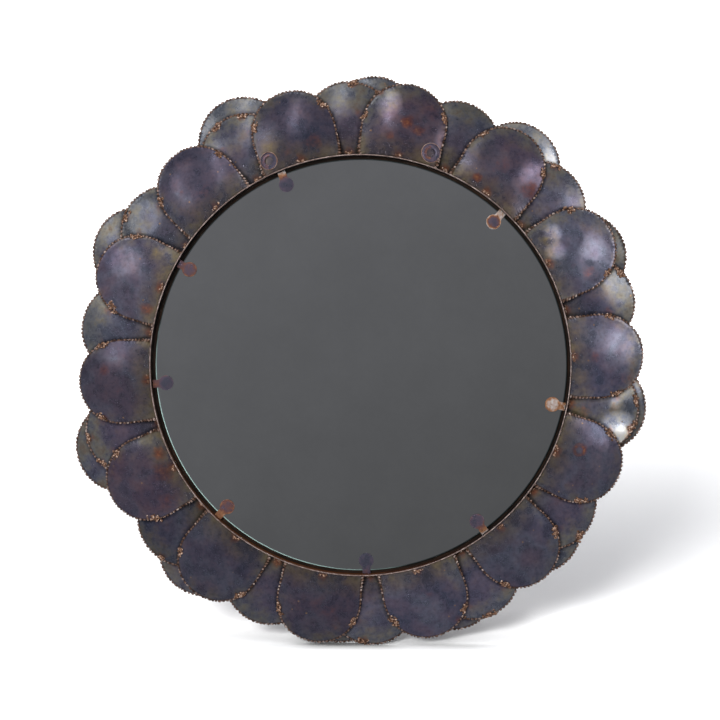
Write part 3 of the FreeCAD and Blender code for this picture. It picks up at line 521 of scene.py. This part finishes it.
def petalMesh(place, name, seed, shape, above):
    pick = random.Random(seed)
    bites = round(2 * math.pi * petals["radius"] / petals["bitePitch"])
    steps = bites * petals["stepsPerBite"]
    radius, dome = petals["radius"], petals["dome"]
    flat = radius - petals["hem"][0]
    radii = [flat * (i / petals["rings"]) ** petals["closing"] for i in range(petals["rings"] + 1)]
    radii += [radius - back for back in petals["hem"][1:]] + [radius]
    bm = bmesh.new()
    layer = {key: bm.verts.layers.float.new(key) for key in petalKeys}
    spine = [bm.verts.new((r, 0, 0)) for r in radii]
    for pair in zip(spine, spine[1:]):
        bm.edges.new(pair)
    bmesh.ops.spin(bm, geom=bm.verts[:] + bm.edges[:], cent=(0, 0, 0), axis=(0, 0, 1),
                   angle=2 * math.pi, steps=steps, use_merge=True)
    bmesh.ops.remove_doubles(bm, verts=bm.verts, dist=0.01 * mm)
    bmesh.ops.recalc_face_normals(bm, faces=bm.faces)
    if bm.faces[0].normal.z < 0:
        bmesh.ops.reverse_faces(bm, faces=bm.faces)
    depth = [petals["biteDepth"] * pick.uniform(0.6, 1.25) for _ in range(bites)]
    bead = [petals["bead"] * pick.uniform(0.2, 1.4) for _ in range(bites + 1)]
    shift = Vector((pick.uniform(0, 90), pick.uniform(0, 90), pick.uniform(0, 90)))
    hottest = Vector((pick.uniform(-1, 1), pick.uniform(-1, 1))) * petals["hot"]
    tone, violet = tones.get(name, (1.0, pick.uniform(0, 0.25)))
    crown = place @ Vector((0, 0, petals["rise"]))
    nearTacks = [top for top in brazedAt if (top - crown).length < petals["tackReach"]]
    dented, rustMarks, goldMarks, paintedLightMarks = (marksOf(name, table)
                                               for table in (dents, rustSpots, goldSpots, paintedLightSpots))
    for vert in bm.verts:
        out = vert.co.xy.length
        around = Vector((vert.co.x, vert.co.y, 0)) / max(out, 1e-6)
        swing = petals["biteSwing"] * noise.noise(around * 9 + shift) * 2 * math.pi / bites
        turn = (math.atan2(vert.co.y, vert.co.x) / (2 * math.pi) % 1.0) * bites
        bite, part = int(turn + 1e-4) % bites, turn % 1.0
        cut = max(0.0, 1 - 1.6 * abs(2 * part - 1))                  # 0 on a bead, 1 in the middle of a bite
        edge = max(0.0, 1 - (radius - out) / petals["hem"][0])       # 0 inside the hem, 1 at the rim
        vert[layer["hem"]] = edge
        vert[layer["notch"]] = cut * edge
        wander = petals["wander"] * noise.noise(around * 1.6 + shift) * (out / radius) ** 4
        vert.co.xy *= 1 + (wander - depth[bite] * cut * edge ** 2) / max(out, 1e-6)
        vert.co = Matrix.Rotation(swing * edge, 3, "Z") @ vert.co
        out = vert.co.xy.length
        vert.co.y *= breadth(vert.co.x, shape)
        height = petals["rise"] + petals["sheet"] - dome + math.sqrt(dome ** 2 - out ** 2)
        ripple = noise.noise(vert.co * 26 + shift) + 0.45 * noise.noise(vert.co * 58 + shift)
        height += ripple * petals["ripple"] * min(1.0, 4 * (1 - out / radius)) if out < radius else 0
        height += bead[bite] * (1 - cut) * (1.5 * edge if edge < 0.66 else 1.0)
        height -= 0.35 * mm * edge * cut
        vert.co.z = height
        world = place @ vert.co
        spot = Vector((world.x, world.z))
        for centre, size, deep in dented:
            near = (spot - centre).length / size
            if near < 1:
                vert.co.z -= deep * mm * (1 - near * near) ** 2
        vert[layer["petalSeed"]] = seed * 0.37
        # the tone carries painted light: raised by painted highlights and lowered by painted shade at the listed
        # spots
        vert[layer["tone"]] = tone * (1 + sum(fadedAt(spot, paintedLightMarks, 2)))
        vert[layer["violet"]] = violet
        cooler = ((vert.co.xy - hottest).length / radius) ** 1.6
        # a petal painted lighter is also greyer, so that its painted highlight stays neutral
        vert[layer["core"]] = 1 + shape["heat"] - max(0.0, tone - 1) - cooler
        nearHoop = 1 - (spot.length - petals["hoop"]) / petals["olive"]
        vert[layer["olive"]] = max([nearHoop, 0.0] + fadedAt(spot, goldMarks, 1))
        rusted = fadedAt(spot, rustMarks, 2) + [
            petals["haloRust"] * max(0.0, 1 - (world - top).length / petals["halo"]) for top in nearTacks]
        vert[layer["rust"]] = min(1.0, max(rusted, default=0.0) + min(rusted, default=0.0))
        # seam: painted shade near the rims of the petals above, where they overlap this one
        beyond = []
        for toLocal, other in above:
            local = toLocal @ world
            beyond.append(math.hypot(local.x, local.y / breadth(local.x, other)) - radius)
        vert[layer["seam"]] = max([1 - gap / petals["seam"] if gap > 0 else 0.5 for gap in beyond
                                   if gap < petals["seam"]], default=0.0)
    bm.transform(place)
    # trim at the hoop: drop what lies inside, and pull the cut's ragged edge onto the hoop's wall
    hoop = petals["hoop"]
    inside = {v for v in bm.verts if math.hypot(v.co.x, v.co.z) < hoop}
    keep = {v for v in inside if any(e.other_vert(v) not in inside for e in v.link_edges)}
    for vert in keep:
        near = math.hypot(vert.co.x, vert.co.z)
        vert.co.x *= hoop / near
        vert.co.z *= hoop / near
    bmesh.ops.delete(bm, geom=[v for v in inside if v not in keep], context="VERTS")
    bmesh.ops.remove_doubles(bm, verts=bm.verts, dist=0.05 * mm)
    return bm


count = 0
petalPlaces = []
for layerName, layer in layers.items():
    upper = list(petalPlaces)
    for number, (angle, share) in enumerate(zip(layer["angles"], layer["shares"]), start=1):
        count += 1
        name = "%sPetal%02d" % (layerName, number)
        reach = petals["seat"] + layer["overhang"] * share - petals["disc"] * math.cos(math.radians(layer["tilt"]))
        place = ringPlace(angle, reach * mm, layer["height"] * mm, layer["tilt"])
        above = [(other.inverted(), shape) for other, shape in upper
                 if (other.translation - place.translation).length < petals["above"] * petals["radius"]]
        petalPlaces.append((place, layer))
        piece = addPiece(name, petalMesh(place, name, count, layer, above), [petalSteel],
                         ["%s_petal_%02d" % (layerName, number)], sharp=60)
        wall = piece.modifiers.new("sheet", "SOLIDIFY")
        wall.thickness = petals["sheet"]
        wall.offset = -1
print("petals made,", count)


hoop = {"outer": 298.0 * mm, "wall": 1.5 * mm, "depth": 58.0 * mm, "steps": 360, "soft": 0.5 * mm,
        "rubbed": 1.2 * mm, "band": 3 * mm}      # the edge is rubbed so far down, and has a band of its own


def spunRing(profile, steps):  # profile: (radius, height) round a closed section
    bm = bmesh.new()
    ring = [bm.verts.new((r, 0, z)) for r, z in profile]
    for first, second in zip(ring, ring[1:] + ring[:1]):
        bm.edges.new((first, second))
    bmesh.ops.spin(bm, geom=bm.verts[:] + bm.edges[:], cent=(0, 0, 0), axis=(0, 0, 1),
                   angle=2 * math.pi, steps=steps, use_merge=True)
    bmesh.ops.remove_doubles(bm, verts=bm.verts, dist=0.001 * mm)
    bmesh.ops.recalc_face_normals(bm, faces=bm.faces)
    return bm


outer, inner = hoop["outer"], hoop["outer"] - hoop["wall"]
front, soft = hoop["depth"], hoop["soft"]
bm = spunRing([(inner, 0), (outer, 0), (outer, front - soft), (outer - soft * 0.3, front - soft * 0.3),
               (outer - soft, front), (inner + soft, front), (inner + soft * 0.3, front - soft * 0.3),
               (inner, front - soft), (inner, front - hoop["band"])], hoop["steps"])
for face in bm.faces:
    if face.calc_center_median().z > front - hoop["rubbed"]:
        face.material_index = 1
bm.transform(ringPlace(0, 0, 0))
addPiece("hoop", bm, [hoopSteel, hoopEdge], ["rim_band"])

pane = {"radius": 291.5 * mm, "thickness": 4 * mm, "back": 40 * mm, "seam": 1.4 * mm, "shift": 1 * mm,
        "steps": 256}
bm = bmesh.new()
bmesh.ops.create_circle(bm, cap_ends=True, segments=pane["steps"], radius=pane["radius"])
bottom = bm.faces[:]
raised = bmesh.ops.extrude_face_region(bm, geom=bottom)
bmesh.ops.translate(bm, verts=[g for g in raised["geom"] if isinstance(g, bmesh.types.BMVert)],
                    vec=(0, 0, pane["thickness"]))
bmesh.ops.recalc_face_normals(bm, faces=bm.faces)
rims = [e for e in bm.edges if abs(e.verts[0].co.z - e.verts[1].co.z) < 0.1 * mm and len(e.link_faces) == 2]
bmesh.ops.bevel(bm, geom=rims, offset=pane["seam"], affect="EDGES", segments=1, profile=0.5, material=-1)
for face in bm.faces:
    face.material_index = 0 if face.normal.z > 0.99 else 1
bm.transform(ringPlace(0, 0, 0) @ Matrix.Translation((pane["shift"], 0, pane["back"])))
addPiece("mirrorPane", bm, [mirrorFace, glassEdge], ["mirror_glass"])
print("hoop and glass made")

tabs = {
    "sheet": 1.2 * mm, "neck": 11.0 * mm, "head": 10.5 * mm, "reach": 19.5 * mm, "bend": 2.0 * mm,
    "wall": 296.35 * mm, "top": 45.3 * mm, "leg": 8.0 * mm, "soft": 0.25 * mm, "segments": 44,
    "dome": 1.1 * mm, "insets": (1.2 * mm, 3.0 * mm, 3.2 * mm),
    "slack": 0.3 * mm,      # the neck starts at the nearest of the disc's corners
}
# angle, share of the reach, heat at the neck, at the head and more at its rim, and how far in mm the head is
# sprung off the glass
# the tab at 348.6 has its neck heat near white: a painted highlight
tabList = [(47.1, 1.0, 0.56, 0.60, 0.76, 0.5), (112.2, 1.04, 0.94, 0.12, 0.2, 0.2),
           (150.7, 0.97, 0.20, 0.44, 0.3, 0.8), (185.2, 1.0, 0.40, 0.16, 0.3, 0.3),
           (226.8, 1.03, 0.58, 0.50, 0.25, 0.6), (271.8, 0.98, 0.15, 0.06, 0.2, 0.2),
           (306.9, 1.04, 0.84, 0.24, 0.2, 0.5), (348.6, 0.97, 0.98, 0.76, -0.3, 1.0)]
for number, (angle, share, neckHeat, headHeat, rimHeat, sprung) in enumerate(tabList, start=1):
    bm = bmesh.new()
    heatLayer = bm.verts.layers.float.new("torchHeat")
    bmesh.ops.create_circle(bm, cap_ends=True, segments=tabs["segments"], radius=tabs["head"])
    reach = tabs["reach"] * share
    halfNeck = tabs["neck"] / 2 + tabs["slack"]
    for width in tabs["insets"]:
        bmesh.ops.inset_region(bm, faces=[max(bm.faces, key=lambda f: f.calc_area())], thickness=width,
                               use_boundary=True)
    edges = [e for e in bm.edges if e.is_boundary
             and all(v.co.x > 0 and abs(v.co.y) < halfNeck for v in e.verts)]
    # neck, bend and leg grow out of the disc's edge one row at a time
    for x, z in ((reach - tabs["bend"], 0), (reach - tabs["bend"] * 0.3, -tabs["bend"] * 0.3),
                 (reach, -tabs["bend"]), (reach, -tabs["leg"])):
        grown = bmesh.ops.extrude_edge_only(bm, edges=edges)["geom"]
        for vert in (g for g in grown if isinstance(g, bmesh.types.BMVert)):
            vert.co.x, vert.co.z = x, z
        edges = [g for g in grown if isinstance(g, bmesh.types.BMEdge) and all(
            abs(v.co.x - x) < 0.01 * mm and abs(v.co.z - z) < 0.01 * mm for v in g.verts)]
    bmesh.ops.recalc_face_normals(bm, faces=bm.faces)
    if max(bm.faces, key=lambda f: f.calc_area()).normal.z < 0:
        bmesh.ops.reverse_faces(bm, faces=bm.faces)
    for vert in bm.verts:
        along = (reach - vert.co.x) / (reach + tabs["head"])      # 0 at the hoop, 1 at the tip
        out = vert.co.length / tabs["head"]
        rim = max(0.0, min(1.0, out * 2 - 1))
        vert[heatLayer] = neckHeat + (headHeat - neckHeat) * min(1.0, along * 2) + rimHeat * (rim - 0.6)
        vert.co.z += sprung * mm * along ** 2 + tabs["dome"] * max(0.0, 1 - out ** 2)
    bm.transform(ringPlace(angle, tabs["wall"] - reach, tabs["top"]))
    piece = addPiece("glassTab%d" % number, bm, [tabSteel], ["glass_tab_%d" % number], sharp=40)
    wall = piece.modifiers.new("sheet", "SOLIDIFY")
    wall.thickness = tabs["sheet"]
    wall.offset = -1
    edge = piece.modifiers.new("softEdge", "BEVEL")
    edge.width = tabs["soft"]
    edge.segments = 2
print("tabs made")


# cup washers: a flat ring with a raised lip, brazed on as ornament; radii in mm
washers = {"right": {"radius": 14.0, "heat": 0.16}, "left": {"radius": 12.8, "heat": 0.08}}
for word, washer in washers.items():
    r = washer["radius"]
    bm = spunRing([(x * mm, z * mm) for x, z in (
        (6.0, 0.0), (r, 0.0), (r, 2.2), (r - 0.35, 2.6), (r - 1.0, 2.65), (r - 1.5, 2.3),
        (r - 1.9, 1.35), (r - 2.6, 1.15), (8.4, 1.2), (7.4, 1.55), (6.6, 1.5), (6.0, 1.1))], 64)
    heatLayer = bm.verts.layers.float.new("torchHeat")
    for vert in bm.verts:
        out = vert.co.xy.length / (r * mm)
        vert[heatLayer] = washer["heat"] + (0.75 if out > 0.93 and vert.co.z > 2 * mm else 0.0) + (
            0.3 if vert.co.x < 0 and out < 0.8 else 0.0)
    seat, top, axis = solidsOf("cup_washer_" + word)[0]
    bm.transform(Matrix.Translation(seat) @ axis.to_track_quat("Z", "Y").to_matrix().to_4x4())
    addPiece("cupWasher" + word.title(), bm, [tabSteel], ["cup_washer_" + word], sharp=50)


# braze: every tack is a heap of drops, drawn out along the rim that it holds down
heaps = {
    "petalBraze": {"node": "petal_tacks", "tacks": petalTacks, "drops": (16, 26), "drop": (1.0, 2.1),
                   "spread": (9.5, 4.6), "inwards": 1.8, "sink": 1.4},
    "hoopBraze": {"node": "rim_tacks", "tacks": hoopTacks, "drops": (6, 11), "drop": (0.9, 1.8),
                  "spread": (7.0, 2.4), "inwards": 0.0, "sink": 1.0},
}
drops = {"scatter": 0.45, "limit": 0.9, "lift": (-0.7, 0.4), "squash": ((1.0, 1.6), (0.9, 1.2), (0.5, 0.8))}
for name, heap in heaps.items():
    pick = random.Random(7)
    whole = bmesh.new()
    for seat, top, axis in heap["tacks"]:
        nearest, shape = min(petalPlaces, key=lambda other: abs((top - other[0].translation).length
                                                                - petals["radius"]))
        if name == "petalBraze":      # onto the rim, where the petal isn't as broad as a disc
            local = nearest.inverted() @ top
            local.y *= breadth(local.x, shape)
            top = nearest @ local
        inwards = nearest.translation - top if name == "petalBraze" else Vector((top.x, 0, top.z))
        inwards = (inwards - axis * inwards.dot(axis)).normalized()
        along = axis.cross(inwards)
        size = pick.uniform(0.7, 1.25)
        bm = bmesh.new()
        for _ in range(pick.randint(*heap["drops"])):
            spread = [max(-drops["limit"], min(drops["limit"], pick.gauss(0, drops["scatter"])))
                      * size * side * mm for side in heap["spread"]]
            where = (top + axis * (pick.uniform(*drops["lift"]) - heap["sink"]) * mm + along * spread[0]
                     + inwards * (spread[1] + heap["inwards"] * mm))
            squash = Matrix.Diagonal([pick.uniform(*span) for span in drops["squash"]] + [1])
            radius = pick.uniform(*heap["drop"]) * mm
            facing = axis.to_track_quat("Z", "Y").to_matrix().to_4x4()
            bmesh.ops.create_icosphere(
                bm, subdivisions=2, radius=radius, matrix=Matrix.Translation(where) @ facing
                @ Matrix.Rotation(pick.uniform(0, 6.28), 4, "Z") @ squash)
        mesh = bpy.data.meshes.new("heap")
        bm.to_mesh(mesh)
        bm.free()
        whole.from_mesh(mesh)
        bpy.data.meshes.remove(mesh)
    addPiece(name, whole, [filler], [heap["node"]], sharp=180)
print("washers and braze made")

for node, material in {"backing_board": board, "glass_ledge": ledgeInPaintedShade, "cross_bars": blackScale,
                       "hanger_straps": zinc, "hanger_rivets": zinc,
                       "hanging_ring_left": zinc, "hanging_ring_right": zinc}.items():
    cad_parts[node].data.materials.clear()
    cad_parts[node].data.materials.append(material)


# the mirror was photographed leaning back a little: here it stands upright, so the paper tilts instead
studio = {"floor": -0.4006, "breadth": 14.0, "near": -7.0, "far": 5.0, "bend": 3.0, "bendSteps": 12, "top": 7.0,
          "lean": 4.0, "card": (0, -4.2, -0.2), "cardHalf": 1.6, "air": (0.94, 0.96, 1.08, 1), "airStrength": 0.21}


def stageObject(name, bm, material):
    mesh = bpy.data.meshes.new(name)
    bm.to_mesh(mesh)
    bm.free()
    mesh.materials.append(material)
    mesh.shade_smooth()
    thing = bpy.data.objects.new(name, mesh)
    bpy.context.scene.collection.objects.link(thing)
    return thing


def sweepPaper():
    # matt white background paper, lit from behind beyond the object so that it burns out
    material, tree, shader = newMaterial("whitePaper", Roughness=0.9)
    shader.inputs["Specular IOR Level"].default_value = 0.1
    shader.inputs["Emission Color"].default_value = (1, 1, 1, 1)
    place = addNode(tree, "TexCoord").outputs["Object"]
    tone = addNode(tree, "TexNoise", inputs={"Vector": place, "Scale": 3, "Detail": 2})
    tint = addNode(tree, "ValToRGB", inputs={"Fac": tone.outputs["Fac"]},
                   stops=[(0.3, "#f4f4f4"), (0.7, "#f7f7f7")])
    depth = addNode(tree, "SeparateXYZ", inputs={0: place}).outputs["Y"]
    # a painted contact shadow under and behind the petals, from the occlusion node; before them a mask keeps the
    # paper white
    ahead = addNode(tree, "MapRange", inputs={
        "Value": depth, "From Min": -0.065, "From Max": -0.02, "To Min": 1.0, "To Max": 0.1})
    crease = addNode(tree, "AmbientOcclusion", {"samples": 4}, {
        "Color": tint.outputs["Color"], "Distance": 0.26})
    darker = addNode(tree, "MapRange", inputs={
        "Value": crease.outputs["AO"], "From Min": 0.38, "From Max": 1.0,
        "To Min": ahead.outputs["Result"], "To Max": 1.0})
    shaded = addNode(tree, "VectorMath", {"operation": "SCALE"}, {
        0: tint.outputs["Color"], "Scale": darker.outputs["Result"]})
    tree.links.new(shaded.outputs["Vector"], shader.inputs["Base Color"])
    glow = addNode(tree, "MapRange", {"interpolation_type": "SMOOTHSTEP"},
                   {"Value": depth, "From Min": 0.2, "From Max": 3.5, "To Min": 0.0, "To Max": 1.0})
    tree.links.new(glow.outputs["Result"], shader.inputs["Emission Strength"])
    return material


def greyCard():
    # the dim room in front of the mirror, a little lighter high up on the left
    material, tree, shader = newMaterial("dimRoom", Roughness=1.0)
    shader.inputs["Specular IOR Level"].default_value = 0.0
    shader.inputs["Base Color"].default_value = (0, 0, 0, 1)
    shader.inputs["Emission Strength"].default_value = 1.0
    place = addNode(tree, "SeparateXYZ", inputs={0: addNode(tree, "TexCoord").outputs["Object"]})
    climb = addNode(tree, "Math", {"operation": "MULTIPLY_ADD"},
                    {0: place.outputs["X"], 1: -0.5, 2: place.outputs["Z"]}).outputs["Value"]
    light = addNode(tree, "MapRange", inputs={"Value": climb, "From Min": -1.3, "From Max": 0.5})
    tint = addNode(tree, "ValToRGB", inputs={"Fac": light.outputs["Result"]},
                   stops=[(0.0, "#505152"), (1.0, "#68696c")])
    tree.links.new(tint.outputs["Color"], shader.inputs["Emission Color"])
    return material


bm = bmesh.new()
path = [(studio["near"], studio["floor"]), (studio["far"], studio["floor"])]
for step in range(1, studio["bendSteps"] + 1):
    turn = math.radians(90 * step / studio["bendSteps"])
    path.append((studio["far"] + studio["bend"] * math.sin(turn),
                 studio["floor"] + studio["bend"] * (1 - math.cos(turn))))
path.append((studio["far"] + studio["bend"], studio["top"]))
line = [bm.verts.new((-studio["breadth"] / 2, y, z)) for y, z in path]
edges = [bm.edges.new(pair) for pair in zip(line, line[1:])]
grown = bmesh.ops.extrude_edge_only(bm, edges=edges)
bmesh.ops.translate(bm, verts=[g for g in grown["geom"] if isinstance(g, bmesh.types.BMVert)],
                    vec=(studio["breadth"], 0, 0))
footing = Matrix.Translation((0, 0, studio["floor"]))
bm.transform(footing @ Matrix.Rotation(math.radians(studio["lean"]), 4, "X") @ footing.inverted())
sweep = stageObject("sweep", bm, sweepPaper())
sweep.visible_glossy = False

bm = bmesh.new()
bmesh.ops.create_grid(bm, x_segments=1, y_segments=1, size=1)
bm.transform(Matrix.Translation(studio["card"]) @ Matrix.Rotation(math.radians(90), 4, "X")
             @ Matrix.Diagonal((studio["cardHalf"], studio["cardHalf"], 1, 1)))
card = stageObject("greyCard", bm, greyCard())
card.visible_diffuse = False
card.visible_shadow = False
card.visible_camera = False


# each lamp stands at a direction from the mirror: degrees to the right, degrees up, metres away
lamps = {
    "rightWindow": {"right": 52, "up": 14, "away": 3.0, "size": (0.9, 1.1), "watts": 9.5},
    "leftPanel": {"right": -47, "up": 24, "away": 3.0, "size": (0.7, 1.0), "watts": 5},
    "topStrip": {"right": -14, "up": 50, "away": 3.0, "size": (0.3, 1.4), "watts": 5.5},
    "floorKey": {"right": -11, "up": 10.5, "away": 4.5, "size": (1.2, 0.8), "watts": 700, "matt": True},
    "floorFill": {"right": -10, "up": 104, "away": 4.0, "size": (4.0, 4.0), "watts": 42, "matt": True},
    "lowFront": {"right": -9, "up": -4.5, "away": 4.5, "size": (1.2, 0.1), "watts": 110, "matt": True},
}
for name, lamp in lamps.items():
    right, up = math.radians(lamp["right"]), math.radians(lamp["up"])
    towards = Vector((math.sin(right) * math.cos(up), -math.cos(right) * math.cos(up), math.sin(up)))
    data = bpy.data.lights.new(name, "AREA")
    data.shape = "RECTANGLE"
    data.size, data.size_y = lamp["size"]
    data.energy = lamp["watts"]
    box = bpy.data.objects.new(name, data)
    box.location = towards * lamp["away"]
    box.rotation_euler = towards.to_track_quat("Z", "Y").to_euler()
    bpy.context.scene.collection.objects.link(box)
    data.color = (1, 1, 1) if lamp.get("matt") else (1, 0.975, 0.92)
    # lamps for what is matt stay out of the steel's reflections, and the steel's lamps off the floor
    box.visible_glossy = not lamp.get("matt", False)
    box.visible_diffuse = lamp.get("matt", False)
    box.visible_camera = False

world = bpy.data.worlds.new("studioAir")
bpy.context.scene.world = world
world.use_nodes = True
air = world.node_tree.nodes["Background"]
air.inputs["Color"].default_value = studio["air"]
air.inputs["Strength"].default_value = studio["airStrength"]
bpy.context.scene.view_settings.view_transform = "Standard"
print("studio made")
